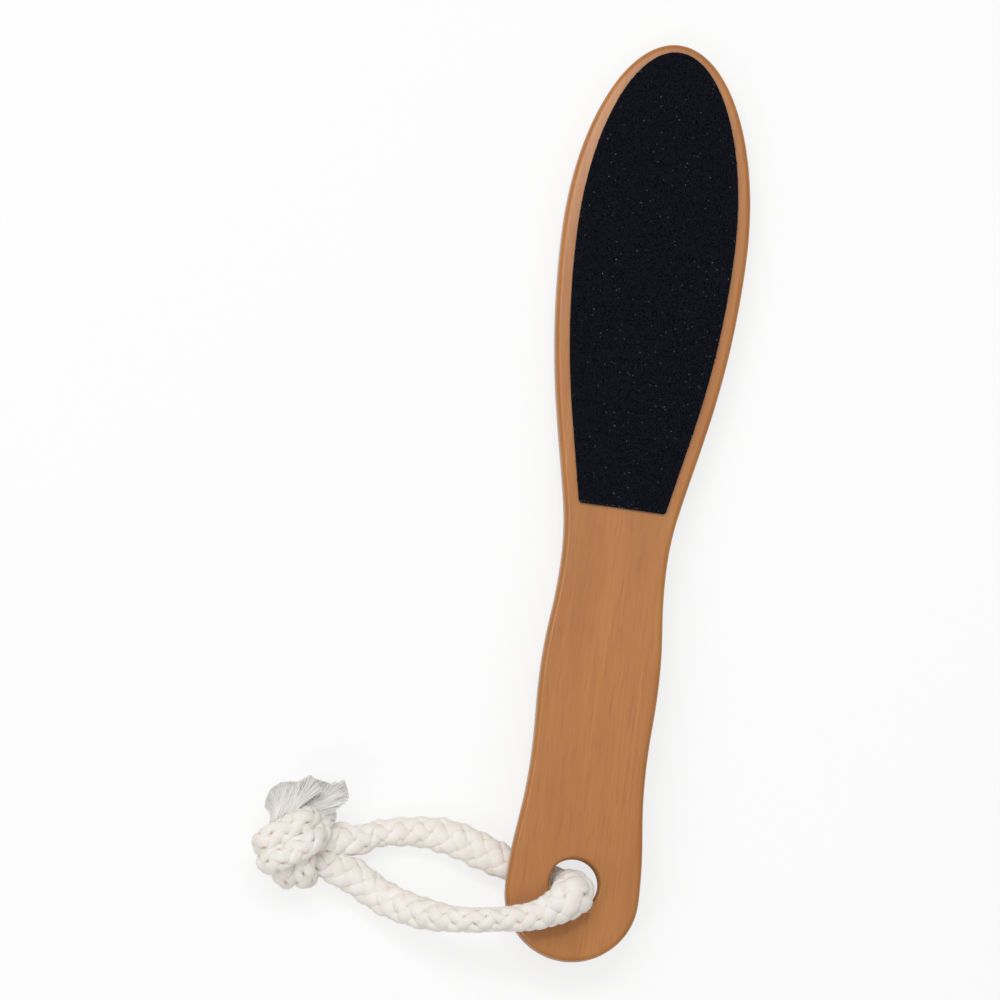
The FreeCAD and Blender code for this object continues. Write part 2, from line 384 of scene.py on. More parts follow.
def close_tree(graph, geometry, material):
    """Ends a tree in Realize Instances and Set Material."""
    solid = graph.node("GeometryNodeRealizeInstances", None, {"Geometry": geometry})
    dressed = graph.node("GeometryNodeSetMaterial", None, {"Geometry": solid, "Material": material})
    graph.node("NodeGroupOutput", None, {"Geometry": dressed})
    return graph.tree


def run_tree(name, tree, base, **values):
    """What the tree makes of a base mesh, as a plain object."""
    carrier = bpy.data.objects.new(name + "_carrier", base)
    bpy.context.scene.collection.objects.link(carrier)
    modifier = carrier.modifiers.new("nodes", "NODES")
    modifier.node_group = tree
    for item in tree.interface.items_tree:
        if item.name in values:
            modifier[item.identifier] = values[item.name]
    evaluated = carrier.evaluated_get(bpy.context.evaluated_depsgraph_get())
    mesh = bpy.data.meshes.new_from_object(evaluated)
    bpy.data.objects.remove(carrier)
    return new_object(name, mesh)


def new_object(name, mesh):
    mesh.name = name
    obj = bpy.data.objects.new(name, mesh)
    bpy.context.scene.collection.objects.link(obj)
    return obj


def grain_tree(material):
    """Scatters low-sided grains over the faces that look along Side, turned and sized at random."""
    graph, wires = new_tree("grains", Spacing="Float", Size="Float", Side="Float")
    facing = graph.parts(graph.node("GeometryNodeInputNormal")).other("Z")
    chosen = (facing * wires["Side"]).math("GREATER_THAN", 0.5)
    points = graph.node("GeometryNodeDistributePointsOnFaces", {"distribute_method": "POISSON"}, {
        "Mesh": wires["Geometry"], "Selection": chosen, "Distance Min": wires["Spacing"],
        "Density Max": 2.0 / (wires["Spacing"] * wires["Spacing"]), "Seed": SEED})
    turn = graph.node("FunctionNodeRandomValue", {"data_type": "FLOAT_VECTOR"},
                      {0: (0, 0, 0), 1: (math.tau, math.tau, math.tau), "Seed": SEED})
    stretch = graph.node("FunctionNodeRandomValue", {"data_type": "FLOAT_VECTOR"},
                         {0: (0.75, 0.75, 0.5), 1: (1.3, 1.2, 0.9), "Seed": SEED + 1})
    grain = graph.node("GeometryNodeMeshUVSphere", None, {
        "Segments": 4, "Rings": 2, "Radius": wires["Size"] * 0.5})
    grains = graph.node("GeometryNodeInstanceOnPoints", None, {
        "Points": points, "Instance": grain, "Scale": stretch,
        "Rotation": graph.node("FunctionNodeEulerToRotation", None, {0: turn})})
    marked = graph.node("GeometryNodeStoreNamedAttribute", {"data_type": "FLOAT", "domain": "INSTANCE"}, {
        "Geometry": grains, "Name": "chance", "Value": graph.random(0.0, 1.0, SEED + 2)})
    return close_tree(graph, marked, material)


def fuzz_tree(material):
    """Adds short stray hairs that lean over on the faces of a cord, clear of the floor."""
    graph, wires = new_tree("fuzz", Density="Float", Length="Float", Thickness="Float")
    height = graph.parts(graph.node("GeometryNodeInputPosition")).other("Z")
    points = graph.node("GeometryNodeDistributePointsOnFaces", None, {
        "Mesh": wires["Geometry"], "Selection": height.math("GREATER_THAN", wires["Length"] * 1.4),
        "Density": wires["Density"], "Seed": SEED})
    hair = graph.node("GeometryNodeMeshCone", None, {
        "Vertices": 3, "Radius Top": 0.0, "Radius Bottom": wires["Thickness"], "Depth": wires["Length"]})
    lean = graph.node("FunctionNodeRandomValue", {"data_type": "FLOAT_VECTOR"},
                      {0: (-1.3, -1.3, 0), 1: (1.3, 1.3, math.tau), "Seed": SEED})
    turned = graph.node("FunctionNodeRotateRotation", {"rotation_space": "LOCAL"}, {
        0: points.other("Rotation"), 1: graph.node("FunctionNodeEulerToRotation", None, {0: lean})})
    hairs = graph.node("GeometryNodeInstanceOnPoints", None, {
        "Points": points, "Instance": hair, "Rotation": turned, "Scale": graph.random(0.4, 1.3, SEED + 1)})
    joined = graph.node("GeometryNodeJoinGeometry", None, {"Geometry": wires["Geometry"]})
    graph.tree.links.new(hairs.socket, joined.socket.node.inputs[0])
    return close_tree(graph, joined, material)


def fray_tree(material, outline):
    """A fan of yarns that leave the cord's end at Tail, gather at Root and spread to an outline over folds.

    TailHalf is the half width of the cord's end across the cord, with its half height as z.
    """
    graph, wires = new_tree(
        "frayed_end", Yarns="Int", Tail="Vector", TailHalf="Vector", Root="Vector", Heading="Float",
        Spread="Float", Length="Float", RootWidth="Float", Thickness="Float", Fold="Float", Rise="Float",
        Yarn="Float", Seed="Int")
    points = graph.node("GeometryNodePoints", None, {"Count": wires["Yarns"]})
    draws = ("across", "deep", "chance")
    for offset, name in enumerate(draws):
        points = graph.node("GeometryNodeStoreNamedAttribute", {"data_type": "FLOAT", "domain": "POINT"}, {
            "Geometry": points, "Name": name, "Value": graph.random(0.0, 1.0, wires["Seed"] + offset)})
    straight = graph.node("GeometryNodeResampleCurve", None,
                          {"Curve": graph.node("GeometryNodeCurvePrimitiveLine"), "Count": 8})
    yarns = graph.node("GeometryNodeInstanceOnPoints", None, {"Points": points, "Instance": straight})
    yarns = graph.node("GeometryNodeRealizeInstances", None, {"Geometry": yarns})
    across, deep, chance = [
        graph.node("GeometryNodeInputNamedAttribute", {"data_type": "FLOAT"}, {"Name": name})
        for name in draws]
    along = graph.node("GeometryNodeSplineParameter")
    place = across * 2.0 - 1.0
    fold_turn = 4.2
    fold_start = 0.6
    stray = 0.3
    wave = (place * fold_turn + fold_start).math("SINE")
    angle = wires["Heading"] + place * wires["Spread"] * (0.7 + 0.3 * along) + (chance - 0.5) * stray * along
    reach = wires["Length"] * along * graph.ramp(across, *outline) * (0.94 + 0.1 * chance)
    side = place * wires["RootWidth"] * 0.5
    root = graph.parts(wires["Root"])
    tail = graph.parts(wires["Tail"])
    half = graph.parts(wires["TailHalf"])
    fan_x = root + angle.math("COSINE") * reach - wires["Heading"].math("SINE") * side
    fan_y = root.other("Y") + angle.math("SINE") * reach + wires["Heading"].math("COSINE") * side
    rise = along * (wave * wires["Fold"] + wires["Rise"] * (1.6 - along))
    fan_z = root.other("Z") + (deep - 0.5) * wires["Thickness"] * (1.0 - 0.75 * along) + rise
    free = graph.ramp(along, (0.0, 0.0), (0.15, 0.3), (0.4, 1.0))
    x = (tail + half * place) * (1.0 - free) + fan_x * free
    y = (tail.other("Y") + half.other("Y") * place) * (1.0 - free) + fan_y * free
    z = (tail.other("Z") + half.other("Z") * (2.0 * deep - 1.0)) * (1.0 - free) + fan_z * free
    where = graph.node("ShaderNodeCombineXYZ", None, {0: x, 1: y, 2: z})
    yarns = graph.node("GeometryNodeSetPosition", None, {"Geometry": yarns, "Position": where})
    yarns = graph.node("GeometryNodeSetCurveNormal", {"mode": "Z_UP"}, {"Curve": yarns})
    section = graph.node("GeometryNodeCurvePrimitiveCircle", None, {
        "Resolution": 5, "Radius": wires["Yarn"] * 0.5})
    section = graph.node("GeometryNodeTransform", None, {"Geometry": section, "Scale": (1.0, 0.6, 1.0)})
    solid = graph.node("GeometryNodeCurveToMesh", None, {
        "Curve": yarns, "Profile Curve": section, "Scale": 1.0 - 0.5 * along * along, "Fill Caps": True})
    return close_tree(graph, solid, material)


# Board

def edge_loops(faces):
    """The closed edges round a set of faces, each as its points in the faces' own sense."""
    chosen = set(faces)
    following = {}
    for face in faces:
        for corner in face.loops:
            if len(chosen.intersection(corner.edge.link_faces)) == 1:
                following[corner.vert] = corner.link_loop_next.vert
    loops = []
    while following:
        start, vertex = following.popitem()
        points = [start.co[:]]
        while vertex is not start:
            points.append(vertex.co[:])
            vertex = following.pop(vertex)
        loops.append(np.array(points))
    return loops


def smooth_loop(points, step):
    """Points at most a step apart on a smooth closed curve through the given ones."""
    after = np.roll(points, -1, axis=0)
    chords = np.linalg.norm(after - points, axis=1)[:, None]
    before = np.roll(chords, 1, axis=0)
    slopes = (after - points) / chords
    leave = (np.roll(slopes, 1, axis=0) * chords + slopes * before) / (chords + before)
    arrive = np.roll(leave, -1, axis=0)
    pieces = []
    for start, end, out, into, chord in zip(points, after, leave, arrive, chords[:, 0]):
        share = np.linspace(0, 1, math.ceil(chord / step), endpoint=False)[:, None]
        rest = 1 - share
        pieces.append(start * (1 + 2 * share) * rest ** 2 + end * (1 + 2 * rest) * share ** 2
                      + chord * share * rest * (out * rest - into * share))
    return np.concatenate(pieces)


def board_mesh(sizes, node, front):
    """A CAD node's board with even rings round its rims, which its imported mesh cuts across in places."""
    bm = bmesh.new()
    bm.from_mesh(node.data)
    welded = 0.001 * MM
    square_on = 0.99999
    bmesh.ops.remove_doubles(bm, verts=bm.verts, dist=welded)
    thickness = np.ptp([vertex.co.dot(front) for vertex in bm.verts])
    loops = edge_loops([face for face in bm.faces if face.normal.dot(front) > square_on])
    loops.sort(key=lambda loop: np.ptp(loop[:, 1]))
    bm.clear()
    turn = np.linspace(0, math.pi / 2, sizes.edge_rings)
    rims = {"front": [], "rear": []}
    for loop, radius in zip(loops, (sizes.hole_round, sizes.edge_round)):
        line = smooth_loop(loop, sizes.step)
        out = unit(np.cross(np.roll(line, -1, axis=0) - np.roll(line, 1, axis=0), front))
        drop = radius * (1 - np.cos(turn))
        rings = [[bm.verts.new(point) for point in line + out * outset - np.array(front) * depth]
                 for outset, depth in zip(radius * np.concatenate((np.sin(turn), np.sin(turn[::-1]))),
                                          np.concatenate((drop, thickness - drop[::-1])))]
        for upper, lower in zip(rings, rings[1:]):
            for index in range(len(line)):
                bm.faces.new((upper[index - 1], lower[index - 1], lower[index], upper[index])).smooth = True
        rims["front"] += [bm.edges.get((rings[0][index - 1], rings[0][index])) for index in range(len(line))]
        rims["rear"] += [bm.edges.get((rings[-1][index - 1], rings[-1][index])) for index in range(len(line))]
    for edges in rims.values():
        bmesh.ops.triangle_fill(bm, use_beauty=True, edges=edges, normal=front)
    bmesh.ops.recalc_face_normals(bm, faces=bm.faces)
    mesh = bpy.data.meshes.new("board")
    bm.to_mesh(mesh)
    bm.free()
    return mesh


# Cord

def knot_route(sizes, side, leg_end, mouth):
    """One strand's route: four passes on the chords of a pentagon, with a fold between each two."""
    fold_angle = math.radians(144)
    lean = math.radians(18)
    centre = Vector((sizes.centre_x, sizes.centre_y, 0))
    points = [mouth, mouth + (mouth - leg_end).normalized() * sizes.neck]
    # The level of each pass, from the floor up
    layers = (1, 3, 0, 2)
    for index, layer in enumerate(layers):
        heading = math.pi + sizes.turn - fold_angle * index
        ahead = Vector((math.cos(heading), math.sin(heading), 0))
        inward = Vector((math.sin(heading), -math.cos(heading), 0))
        offset = sizes.reach * math.sin(lean) + side * (-1) ** index * sizes.spacing / 2
        reach = (sizes.reach - offset * math.sin(lean)) / math.cos(lean)
        height = sizes.height / 2 + layer * sizes.pitch
        if index > 0:
            points.append(Vector((*points[-1].xy, height)))
        if index == len(layers) - 1:
            reach += sizes.tail
        points.append(centre - inward * offset + ahead * reach + Vector((0, 0, height)))
    return points


def cord_route(sizes):
    """The whole cord from one frayed end to the other: points, widths and heights."""
    loop = [Vector(row[:3]) * MM for row in LOOP_ROUTE]
    # Each strand goes into the knot in line with the third point of its leg
    back = knot_route(sizes, -1, loop[2], loop[0])[:0:-1]
    front = knot_route(sizes, 1, loop[-3], loop[-1])[1:]
    shift = Vector((HOLE.x, HOLE.y, 0))
    points = [shift + point for point in back + loop + front]
    widths = [sizes.width] * len(back) + [row[3] * MM for row in LOOP_ROUTE] + [sizes.width] * len(front)
    heights = [sizes.height] * len(back) + [row[4] * MM for row in LOOP_ROUTE] + [sizes.height] * len(front)
    return points, widths, heights


def spline_line(points):
    """The points of a smooth spline through the route."""
    curve = bpy.data.curves.new("cord_route", "CURVE")
    curve.dimensions = "3D"
    curve.resolution_u = 16
    spline = curve.splines.new("NURBS")
    spline.points.add(len(points) - 1)
    for control, place in zip(spline.points, points):
        control.co = (*place, 1.0)
    spline.order_u = 3
    spline.use_endpoint_u = True
    holder = bpy.data.objects.new("cord_route", curve)
    bpy.context.scene.collection.objects.link(holder)
    bpy.context.view_layer.update()
    mesh = bpy.data.meshes.new_from_object(holder)
    line = np.array([vertex.co for vertex in mesh.vertices])
    bpy.data.objects.remove(holder)
    bpy.data.meshes.remove(mesh)
    return line


def lengths_along(line):
    return np.concatenate(([0.0], np.cumsum(np.linalg.norm(np.diff(line, axis=0), axis=1))))


def evenly(line, step):
    """The same line with its points a step apart."""
    run = lengths_along(line)
    places = np.linspace(0, run[-1], int(run[-1] / step) + 1)
    return np.stack([np.interp(places, run, line[:, axis]) for axis in range(3)], axis=1), places


def settled(line, spacing, free, apart, floor, rounds):
    """The line after its free part has rounded its bends and moved off itself and the floor.

    It keeps its length. Free is 0 where a point is held and 1 where nothing holds it.
    """
    rounding = 0.25
    length_rounds = 4
    own_stretch = 1.6 * apart
    line = line.copy()
    loose = free[:, None]
    part = np.flatnonzero(free > 0)
    own = np.abs(part[:, None] - part[None]) * spacing < own_stretch
    for _ in range(rounds):
        line[1:-1] += rounding * loose[1:-1] * ((line[:-2] + line[2:]) / 2 - line[1:-1])
        for _ in range(length_rounds):
            gap = np.diff(line, axis=0)
            shift = gap * (0.5 - 0.5 * spacing / np.linalg.norm(gap, axis=1, keepdims=True))
            line[:-1] += shift * loose[:-1]
            line[1:] -= shift * loose[1:]
        away = line[part][:, None] - line[part][None]
        far = np.maximum(np.linalg.norm(away, axis=2), spacing * 0.01)
        push = np.where((far < apart) & ~own, apart / far - 1, 0)
        shares = np.maximum(np.count_nonzero(push, axis=1), 1)
        line[part] += 0.5 * np.einsum("ij,ijk->ik", push, away) / shares[:, None] * loose[part]
        line[:, 2] = np.maximum(line[:, 2], floor)
    return line


def unit(vectors):
    return vectors / np.linalg.norm(vectors, axis=1, keepdims=True)


def carried_frame(line):
    """Two directions square to the line that don't twist round it."""
    ahead = unit(np.gradient(line, axis=0))
    first = np.zeros_like(line)
    normal = np.cross(ahead[0], (0, 0, 1))
    for index, tangent in enumerate(ahead):
        normal = normal - tangent * np.dot(normal, tangent)
        normal = normal / np.linalg.norm(normal)
        first[index] = normal
    return first, np.cross(ahead, first)


def ring_faces(rings, sides, base):
    """Quads between the rings of a tube, and a cap at each end."""
    ring = np.arange(rings - 1)[:, None] * sides + base
    here = np.arange(sides)[None, :]
    after = (here + 1) % sides
    corners = [ring + here, ring + after, ring + sides + after, ring + sides + here]
    quads = np.stack(corners, axis=-1).reshape(-1, 4)
    last = base + (rings - 1) * sides
    return quads.tolist() + [list(range(base + sides - 1, base - 1, -1)), list(range(last, last + sides))]


def braid_mesh(sizes, line, places, widths, heights):
    """Eight strands, four each way round, over and under by turns, on a core.

    Widths and heights flatten the cord where it is soft. A gap of the braid is fully deep, so fully in the
    cotton's painted shade, at a share of the cord's radius, and the strands swell and thin along a wave.
    """
    rng = np.random.default_rng(SEED)
    first, second = carried_frame(line)
    full = sizes.diameter / 2
    middle = full - sizes.strand_thickness / 2 - sizes.weave
    strands = 8
    each_way = strands // 2
    sides = 10
    fully_deep = 0.45
    swell = 0.05
    swell_length = 9 * MM
    wider_on_top = 0.06
    uneven = 0.04
    flat = np.stack([widths, widths, heights], axis=1) / sizes.diameter
    vertices, faces, depths, uvs = [], [], [], []

    def add_tube(centres, out, across, half_out, half_across, count):
        base = sum(len(part) for part in vertices)
        turn = np.arange(count) * math.tau / count
        offsets = (out[:, None] * (np.cos(turn)[None, :] * half_out[:, None])[..., None]
                   + across[:, None] * (np.sin(turn)[None, :] * half_across[:, None])[..., None])
        rings = centres[:, None] + offsets
        depth = 1 - np.linalg.norm(rings, axis=2) / full
        vertices.append((line[:, None] + rings * flat[:, None]).reshape(-1, 3))
        depths.append(np.clip(depth / fully_deep, 0, 1).reshape(-1))
        faces.extend(ring_faces(len(line), count, base))
        round_and_along = np.broadcast_arrays(turn[None, :] / math.tau, places[:, None] / MM)
        uvs.append(np.stack(round_and_along, axis=-1).reshape(-1, 2))

    for strand in range(strands):
        way = 1 if strand % 2 == 0 else -1
        angle = (strand // 2) * math.tau / each_way + way * places * math.tau / sizes.lay
        over = way * np.cos(places * each_way * math.tau / sizes.lay)
        drift = np.sin(places / swell_length + rng.uniform(0, math.tau)) * swell
        radius = middle + sizes.weave * over
        centres = (first * np.cos(angle)[:, None] + second * np.sin(angle)[:, None]) * radius[:, None]
        ahead = unit(np.gradient(line + centres, axis=0))
        out = unit(centres - ahead * np.sum(centres * ahead, axis=1, keepdims=True))
        half_width = sizes.strand_width / 2 * (1 + drift + wider_on_top * over)
        half_thickness = sizes.strand_thickness / 2 * (1 + rng.uniform(-uneven, uneven) - drift)
        add_tube(centres, out, np.cross(ahead, out), half_thickness, half_width, sides)
    core = np.full(len(line), full - sizes.strand_thickness)
    add_tube(np.zeros_like(line), first, second, core, core, sides)

    mesh = bpy.data.meshes.new("cord")
    mesh.from_pydata(np.concatenate(vertices).tolist(), [], faces)
    # depth drives the cotton's painted shade in the braid's gaps
    depth = mesh.attributes.new("depth", "FLOAT", "POINT")
    depth.data.foreach_set("value", np.concatenate(depths).astype(np.float32))
    corners = np.zeros(len(mesh.loops), np.int32)
    mesh.loops.foreach_get("vertex_index", corners)
    layer = mesh.uv_layers.new(name="strand")
    layer.data.foreach_set("uv", np.concatenate(uvs)[corners].astype(np.float32).ravel())
    mesh.shade_smooth()
    return mesh


# Sizes and colours that a user would change

def length(title, note, default):
    return bpy.props.FloatProperty(name=title, description=note, default=default, unit="LENGTH", precision=5)


def number(title, note, default):
    return bpy.props.IntProperty(name=title, description=note, default=default)


def degrees(title, note, default):
    return bpy.props.FloatProperty(name=title, description=note, default=math.radians(default),
                                   subtype="ANGLE")


def tint(title, note, default):
    return bpy.props.FloatVectorProperty(name=title, description=note, default=default, size=3, min=0, max=1,
                                         subtype="COLOR")


class FOOTFILE_PG_wood(bpy.types.PropertyGroup):
    """Edges of the board and tones of its lacquered wood"""

    edge_round: length("Edge round", "Radius of the rounded edges", 1.5 * MM)
    hole_round: length("Hole round", "Radius of the rounded rims of the hole", 0.9 * MM)
    edge_rings: number("Edge rings", "Rings round each rounded edge", 7)
    step: length("Step", "Longest distance between points along an edge", 1.0 * MM)
    light: tint("Light", "Pale bands of the grain", srgb(187, 125, 57))
    dark: tint("Dark", "Dark bands of the grain", srgb(154, 92, 34))
    red: tint("Red", "Fine reddish streaks", srgb(166, 97, 40))


class FOOTFILE_PG_grit(bpy.types.PropertyGroup):
    """Grains and layers of the abrasive sheets"""

    coarse_size: length("Coarse grain", "Width of a grain on the front", 0.56 * MM)
    coarse_spacing: length("Coarse spacing", "Distance between grains on the front", 0.5 * MM)
    fine_size: length("Fine grain", "Width of a grain on the rear", 0.44 * MM)
    fine_spacing: length("Fine spacing", "Distance between grains on the rear", 0.45 * MM)
    worn: length("Worn edge", "Width of the worn strip along the straight cut", 0.9 * MM)
    bed: tint("Bed", "Glue coat between the grains", srgb(3, 4, 6))
    grain: tint("Grain", "The paler grains", srgb(31, 33, 40))
    # Painted glint: a pale colour for the few grains, in place of light off their facets
    painted_glint: tint("Sparkle", "The few pale grains", srgb(104, 108, 116))
    backing: tint("Backing", "Paper of the sheets", srgb(112, 118, 130))
    adhesive: tint("Adhesive", "Film under the sheets", srgb(190, 180, 160))


class FOOTFILE_PG_fray(bpy.types.PropertyGroup):
    """The frayed ends of the cord"""

    yarns: number("Yarns", "Yarns in each fan", 1500)
    yarn: length("Yarn", "Width of a yarn", 0.36 * MM)
    fibres: number("Fibres", "Fine stray fibres in each fan", 240)
    fibre: length("Fibre", "Width of a stray fibre", 0.14 * MM)
    thickness: length("Thickness", "Thickness of a fan at its root", 2.4 * MM)
    root_width: length("Root width", "Width of a fan at its root", 3.6 * MM)
    fold: length("Fold", "Height of the folds in a fan", 0.8 * MM)
    pale: tint("Pale", "Loose yarn", srgb(236, 234, 231))
    cream: tint("Cream", "Loose yarn that is less bright", srgb(222, 219, 213))


class FOOTFILE_PG_cord(bpy.types.PropertyGroup):
    """The braided cord and its knot"""

    diameter: length("Diameter", "Round diameter of the cord", 8.4 * MM)
    lay: length("Lay", "Length in which a strand goes once round", 23 * MM)
    strand_width: length("Strand width", "Width of one of the eight strands", 3.7 * MM)
    strand_thickness: length("Strand thickness", "Thickness of a strand", 2.5 * MM)
    weave: length("Weave", "How far a strand rises and dips", 0.38 * MM)
    step: length("Step", "Distance between the rings of a strand", 0.5 * MM)
    width: length("Knotted width", "Width of the cord in the knot", 7.8 * MM)
    height: length("Knotted height", "Height of the cord in the knot", 6.0 * MM)
    spacing: length("Spacing", "Distance between the two strands of the knot", 6.0 * MM)
    pitch: length("Pitch", "Height from one layer of the knot to the next", 4.4 * MM)
    reach: length("Reach", "Distance from the knot's centre to its folds", 7.4 * MM)
    neck: length("Neck", "Straight run where the cord goes into the knot", 6.0 * MM)
    tail: length("Tail", "How far the cord stands out of the knot", 1.5 * MM)
    centre_x: length("Centre X", "The knot's centre, from the hole", -78.6 * MM)
    centre_y: length("Centre Y", "The knot's centre, from the hole", -0.2 * MM)
    turn: degrees("Turn", "How far the knot is turned", 3)
    apart: length("Apart", "Least distance between passes of the knot", 4.8 * MM)
    rounds: number("Rounds", "How long the knot settles", 160)
    fuzz_density: bpy.props.FloatProperty(name="Fuzz", description="Stray hairs per square metre",
                                          default=5.5e5)
    fuzz_length: length("Fuzz length", "Length of a stray hair", 1.2 * MM)
    fuzz_thickness: length("Fuzz thickness", "Radius of a stray hair at its root", 0.025 * MM)
    pale: tint("Pale", "Outer cotton", srgb(243, 239, 233))
    cream: tint("Cream", "Cotton between the yarns", srgb(232, 223, 210))
    # Painted shade: the warm, darker colour of the braid's deep gaps, in place of the light that fades in
    # them
    deep: tint("Deep", "Cotton in the gaps of the braid", srgb(206, 178, 146))


class FOOTFILE_PG_stage(bpy.types.PropertyGroup):
    """Camera, floor and light"""

    view_width: length("View width", "Width of the picture at the paddle", 283.1 * MM)
    distance: length("Distance", "From the camera to the middle of the picture", 2.0)
    middle: bpy.props.FloatVectorProperty(name="Middle", description="Place in the middle of the picture",
                                          default=(-34.7 * MM, -5.43 * MM, 11 * MM), subtype="TRANSLATION")
    roll: degrees("Roll", "Lean of the paddle in the picture", 7.56)
    lean_left: degrees("Lean left", "How far the camera stands to the left", 6)
    lean_down: degrees("Lean down", "How far the camera stands to the handle's side", 6)
    shadow: bpy.props.FloatProperty(name="Shadow", description="How much of the shadow the floor shows",
                                    default=0.25, subtype="FACTOR")


# Pieces

class FOOTFILE_OT_lacquer_paddle(bpy.types.Operator):
    """Rounds the paddle's edges and gives it its lacquered wood"""

    bl_idname = "foot_file.lacquer_paddle"
    bl_label = "Lacquer the paddle"

    def execute(self, context):
        sizes = context.scene.foot_file_wood
        board = new_object("board", board_mesh(sizes, NODES["paddle"], FRONT))
        paint(board, wood_material(sizes))
        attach(board, "paddle")
        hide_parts("paddle")
        return {"FINISHED"}


class FOOTFILE_OT_grit_sheets(bpy.types.Operator):
    """Dresses both abrasive sheets and scatters their grains"""

    bl_idname = "foot_file.grit_sheets"
    bl_label = "Grit the sheets"

    def execute(self, context):
        sizes = context.scene.foot_file_grit
        backing = plain_material("backing_paper", sizes.backing, 0.8)
        adhesive = plain_material("adhesive_film", sizes.adhesive, 0.4)
        grades = (("front", "coarse", 1.0, sizes.coarse_spacing, sizes.coarse_size),
                  ("rear", "fine", -1.0, sizes.fine_spacing, sizes.fine_size))
        for side, grade, facing, spacing, size in grades:
            paint(NODES[side + "_backing"], backing)
            paint(NODES[side + "_adhesive"], adhesive)
            cut = min(vertex.co.y for vertex in NODES[side + "_grit"].data.vertices)
            paint(NODES[side + "_grit"], grit_material(grade + "_bed", sizes, cut, True))
            tree = grain_tree(grit_material(grade + "_grains", sizes, cut, False))
            grains = run_tree(side + "_grains", tree, NODES[side + "_grit"].data.copy(), Spacing=spacing,
                              Size=size, Side=facing)
            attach(grains, "paddle")
        return {"FINISHED"}


class FOOTFILE_OT_fray_ends(bpy.types.Operator):
    """Fans out the loose yarn at both ends of the cord"""

    bl_idname = "foot_file.fray_ends"
    bl_label = "Fray the ends"

    def execute(self, context):
        sizes = context.scene.foot_file_fray
        material = yarn_material(sizes)
        coats = (("yarn", sizes.yarns, sizes.yarn, SEED + 4), ("fibre", sizes.fibres, sizes.fibre, SEED + 5))
        below_hole = Vector((HOLE.x, HOLE.y, 0))
        for fan in FANS:
            tree = fray_tree(material, fan.outline)
            for coat, count, width, seed in coats:
                piece = run_tree(
                    coat + "_" + fan.name, tree, bpy.data.meshes.new("yarn_base"), Yarns=count,
                    Tail=below_hole + Vector(fan.tail) * MM, TailHalf=Vector(fan.tail_half) * MM,
                    Root=below_hole + Vector(fan.root) * MM, Heading=math.radians(fan.heading),
                    Spread=math.radians(fan.spread), Length=fan.reach * MM, Rise=fan.rise * MM,
                    RootWidth=sizes.root_width, Thickness=sizes.thickness, Fold=sizes.fold, Yarn=width,
                    Seed=seed)
                piece.data.shade_smooth()
                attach(piece, "hang_loop")
                if coat == "yarn":
                    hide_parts("frayed_end_" + fan.name)
        return {"FINISHED"}


class FOOTFILE_OT_braid_cord(bpy.types.Operator):
    """Braids the cord along its loop and its knot"""

    bl_idname = "foot_file.braid_cord"
    bl_label = "Braid the cord"

    def execute(self, context):
        sizes = context.scene.foot_file_cord
        points, widths, heights = cord_route(sizes)
        smooth = spline_line(points)
        run = lengths_along(smooth)
        nearest = [run[np.argmin(np.linalg.norm(smooth - np.array(point), axis=1))] for point in points]
        line, places = evenly(smooth, sizes.step)
        widths = np.interp(places, nearest, widths)
        heights = np.interp(places, nearest, heights)
        in_knot = (len(points) - len(LOOP_ROUTE)) // 2
        into = np.maximum(nearest[in_knot] - places, places - nearest[-1 - in_knot])
        free = np.clip(into / sizes.neck, 0, 1)
        lowest = 0.54 * sizes.height
        line = settled(line, sizes.step, free, sizes.apart, lowest, sizes.rounds)
        places = lengths_along(line)
        mesh = braid_mesh(sizes, line, places, widths, heights)
        cord = run_tree("cord", fuzz_tree(cotton_material(sizes)), mesh, Density=sizes.fuzz_density,
                        Length=sizes.fuzz_length, Thickness=sizes.fuzz_thickness)
        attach(cord, "hang_loop")
        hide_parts("cord_loop", "cord_knot")
        return {"FINISHED"}


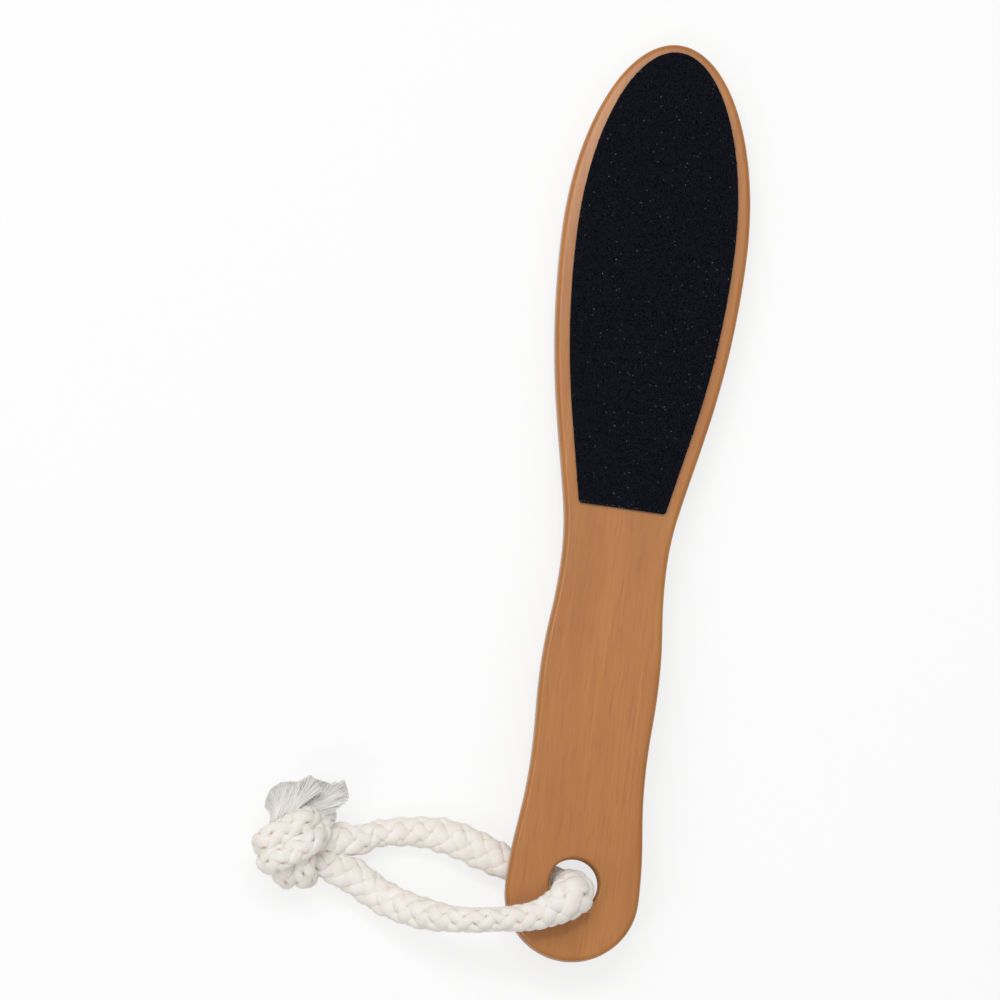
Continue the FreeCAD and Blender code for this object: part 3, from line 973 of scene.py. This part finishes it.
class FOOTFILE_OT_set_stage(bpy.types.Operator):
    """Sets the floor, the light and the camera"""

    bl_idname = "foot_file.set_stage"
    bl_label = "Set the stage"

    def execute(self, context):
        sizes = context.scene.foot_file_stage
        context.scene.view_settings.view_transform = "Standard"
        self.lay_floor(sizes)
        self.light_room(context)
        self.place_camera(context, sizes)
        return {"FINISHED"}

    def lay_floor(self, sizes):
        """A pale floor just under the lowest grains of the rear sheet."""
        mesh = bpy.data.meshes.new("floor")
        half = 3.0
        level = -0.26 * MM
        corners = [(-half, -half, level), (half, -half, level), (half, half, level), (-half, half, level)]
        mesh.from_pydata(corners, [], [(0, 1, 2, 3)])
        floor = new_object("floor", mesh)
        paint(floor, background_material("pale_floor", 0.9, sizes.shadow))

    def light_room(self, context):
        """A room that is brighter overhead, and three soft lamps."""
        world = bpy.data.worlds.new("room")
        context.scene.world = world
        world.use_nodes = True
        world.node_tree.nodes.clear()
        graph = Graph(world.node_tree)
        sky = graph.node("ShaderNodeTexCoord", output="Generated")
        height = graph.parts(sky).other("Z")
        strength = graph.ramp(height, (0.0, 0.18), (0.9, 0.78)).math("MAXIMUM", seen_directly(graph))
        shell = graph.node("ShaderNodeBackground", None, {"Color": (1, 1, 1, 1), "Strength": strength})
        graph.node("ShaderNodeOutputWorld", None, {"Surface": shell})
        lamps = (("window", (-0.35, 0.35, 0.8), 0.5, 2.3), ("fill", (-0.45, -0.55, 0.5), 0.2, 0.9),
                 ("sheen", (-0.02, 0.36, 0.9), 0.14, 1.2))
        for name, place, size, watts in lamps:
            light = bpy.data.lights.new(name, "AREA")
            light.size = size
            light.energy = watts
            lamp = bpy.data.objects.new(name, light)
            lamp.location = place
            lamp.rotation_euler = (-Vector(place)).to_track_quat("-Z", "Y").to_euler()
            context.scene.collection.objects.link(lamp)

    def place_camera(self, context, sizes):
        """A camera nearly square on to the paddle, a little to its left and towards the handle."""
        up = Vector((-math.sin(sizes.roll), math.cos(sizes.roll), 0))
        right = Vector((math.cos(sizes.roll), math.sin(sizes.roll), 0))
        back = Vector((0, 0, 1)) - right * math.tan(sizes.lean_left) - up * math.tan(sizes.lean_down)
        back.normalize()
        up = (up - back * up.dot(back)).normalized()
        data = bpy.data.cameras.new("camera")
        data.lens = data.sensor_width * sizes.distance / sizes.view_width
        camera = bpy.data.objects.new("camera", data)
        turn = Matrix((up.cross(back), up, back)).transposed().to_4x4()
        camera.matrix_world = Matrix.Translation(Vector(sizes.middle) + back * sizes.distance) @ turn
        context.scene.collection.objects.link(camera)
        context.scene.camera = camera


class FOOTFILE_PT_pieces(bpy.types.Panel):
    """Lists the pieces of the foot file and their sizes"""

    bl_idname = "FOOTFILE_PT_pieces"
    bl_label = "Foot file"
    bl_space_type = "VIEW_3D"
    bl_region_type = "UI"
    bl_category = "Foot file"

    def draw(self, context):
        for group, operator in PIECES:
            box = self.layout.box()
            box.operator(operator.bl_idname)
            settings = getattr(context.scene, group)
            for name in settings.bl_rna.properties.keys():
                if name not in ("rna_type", "name"):
                    box.prop(settings, name)


PIECES = (
    ("foot_file_wood", FOOTFILE_OT_lacquer_paddle),
    ("foot_file_grit", FOOTFILE_OT_grit_sheets),
    ("foot_file_fray", FOOTFILE_OT_fray_ends),
    ("foot_file_cord", FOOTFILE_OT_braid_cord),
    ("foot_file_stage", FOOTFILE_OT_set_stage),
)
GROUPS = (FOOTFILE_PG_wood, FOOTFILE_PG_grit, FOOTFILE_PG_fray, FOOTFILE_PG_cord, FOOTFILE_PG_stage)


def register():
    for (name, operator), group in zip(PIECES, GROUPS):
        bpy.utils.register_class(group)
        bpy.utils.register_class(operator)
        setattr(bpy.types.Scene, name, bpy.props.PointerProperty(type=group))
    bpy.utils.register_class(FOOTFILE_PT_pieces)


def unregister():
    bpy.utils.unregister_class(FOOTFILE_PT_pieces)
    for (name, operator), group in reversed(list(zip(PIECES, GROUPS))):
        delattr(bpy.types.Scene, name)
        bpy.utils.unregister_class(operator)
        bpy.utils.unregister_class(group)


def main():
    register()
    bpy.ops.foot_file.lacquer_paddle()
    bpy.ops.foot_file.grit_sheets()
    bpy.ops.foot_file.fray_ends()
    bpy.ops.foot_file.braid_cord()
    bpy.ops.foot_file.set_stage()


if __name__ == "__main__":
    main()
